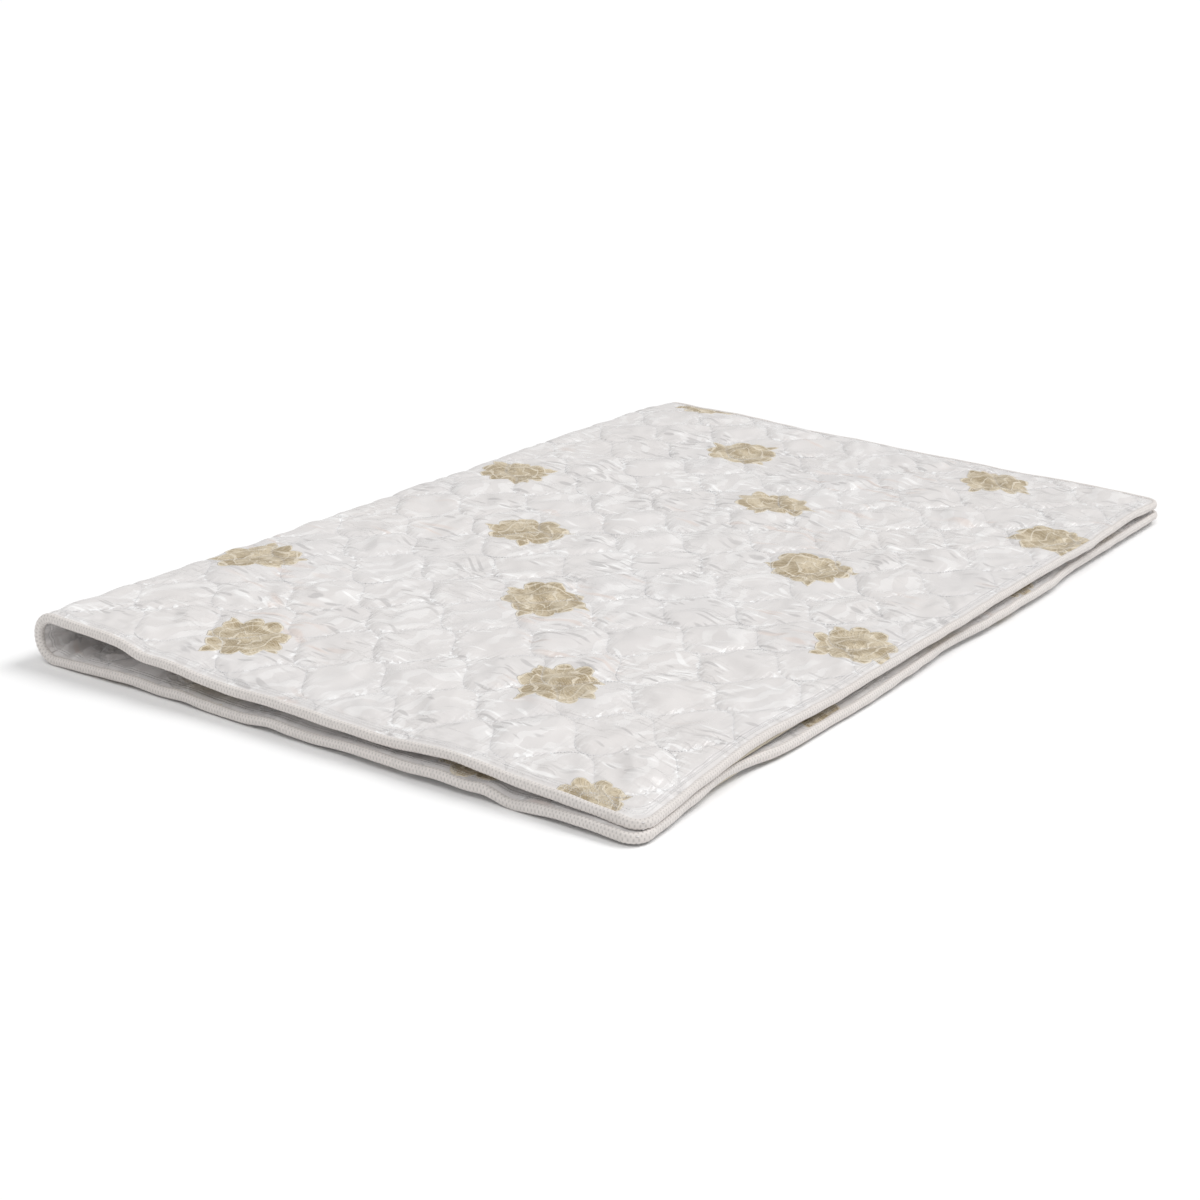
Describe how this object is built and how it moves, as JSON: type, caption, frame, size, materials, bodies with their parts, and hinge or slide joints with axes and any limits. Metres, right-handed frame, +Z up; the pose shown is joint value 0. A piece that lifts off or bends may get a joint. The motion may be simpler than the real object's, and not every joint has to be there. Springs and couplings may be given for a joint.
{
  "type": "folding futon mattress",
  "caption": "Thin quilted futon mattress with satin covers and a knitted tape edge, folded once in half; it opens out flat at a chain of hinge lines in the fold.",
  "frame": {"origin": "middle of the underside of the folded pad, on the surface that it lies on", "axes": "+X from the fold to the free edges, +Y along the fold, +Z up"},
  "size_m": [0.9947, 1.5, 0.0762],
  "materials": {
    "cover": "white satin jacquard with woven swirls and gold rose sprays, quilted in ogee cells",
    "wadding": "bonded white polyester wadding",
    "core": "needled off-white fibre felt",
    "binding": "off-white knitted binding tape with raised diagonal ribs",
    "thread": "white polyester sewing thread"
  },
  "bodies": {
    "lower_half": {"lower_outer_cover": "cover", "lower_outer_wadding": "wadding", "lower_core": "core", "lower_inner_wadding": "wadding", "lower_inner_cover": "cover", "lower_quilting_thread": "thread", "lower_binding_front": "binding", "lower_binding_end": "binding", "lower_binding_back": "binding", "lower_binding_thread": "thread"},
    "fold_strip_1": {"fold1_outer_cover": "cover", "fold1_outer_wadding": "wadding", "fold1_core": "core", "fold1_inner_wadding": "wadding", "fold1_inner_cover": "cover", "fold1_binding_front": "binding", "fold1_binding_back": "binding"},
    "fold_strip_2": {"fold2_outer_cover": "cover", "fold2_outer_wadding": "wadding", "fold2_core": "core", "fold2_inner_wadding": "wadding", "fold2_inner_cover": "cover", "fold2_binding_front": "binding", "fold2_binding_back": "binding"},
    "fold_strip_3": {"fold3_outer_cover": "cover", "fold3_outer_wadding": "wadding", "fold3_core": "core", "fold3_inner_wadding": "wadding", "fold3_inner_cover": "cover", "fold3_binding_front": "binding", "fold3_binding_back": "binding"},
    "fold_strip_4": {"fold4_outer_cover": "cover", "fold4_outer_wadding": "wadding", "fold4_core": "core", "fold4_inner_wadding": "wadding", "fold4_inner_cover": "cover", "fold4_binding_front": "binding", "fold4_binding_back": "binding"},
    "fold_strip_5": {"fold5_outer_cover": "cover", "fold5_outer_wadding": "wadding", "fold5_core": "core", "fold5_inner_wadding": "wadding", "fold5_inner_cover": "cover", "fold5_binding_front": "binding", "fold5_binding_back": "binding"},
    "upper_half": {"upper_outer_cover": "cover", "upper_outer_wadding": "wadding", "upper_core": "core", "upper_inner_wadding": "wadding", "upper_inner_cover": "cover", "upper_quilting_thread": "thread", "upper_binding_front": "binding", "upper_binding_end": "binding", "upper_binding_back": "binding", "upper_binding_thread": "thread"}
  },
  "joints": [
    {"name": "fold_hinge_1", "type": "hinge", "parent": "lower_half", "child": "fold_strip_1", "pos_m": [-0.46668, 0, 0.011], "axis": [0, -1, 0], "range_deg": [0, 30.31]},
    {"name": "fold_hinge_2", "type": "hinge", "parent": "fold_strip_1", "child": "fold_strip_2", "pos_m": [-0.47931, 0, 0.01838], "axis": [0, -1, 0], "range_deg": [0, 30.31]},
    {"name": "fold_hinge_3", "type": "hinge", "parent": "fold_strip_2", "child": "fold_strip_3", "pos_m": [-0.48648, 0, 0.03112], "axis": [0, -1, 0], "range_deg": [0, 30.31]},
    {"name": "fold_hinge_4", "type": "hinge", "parent": "fold_strip_3", "child": "fold_strip_4", "pos_m": [-0.48625, 0, 0.04575], "axis": [0, -1, 0], "range_deg": [0, 30.31]},
    {"name": "fold_hinge_5", "type": "hinge", "parent": "fold_strip_4", "child": "fold_strip_5", "pos_m": [-0.47867, 0, 0.05825], "axis": [0, -1, 0], "range_deg": [0, 30.31]},
    {"name": "fold_hinge_6", "type": "hinge", "parent": "fold_strip_5", "child": "upper_half", "pos_m": [-0.46581, 0, 0.06522], "axis": [0, -1, 0], "range_deg": [0, 30.31]}
  ]
}
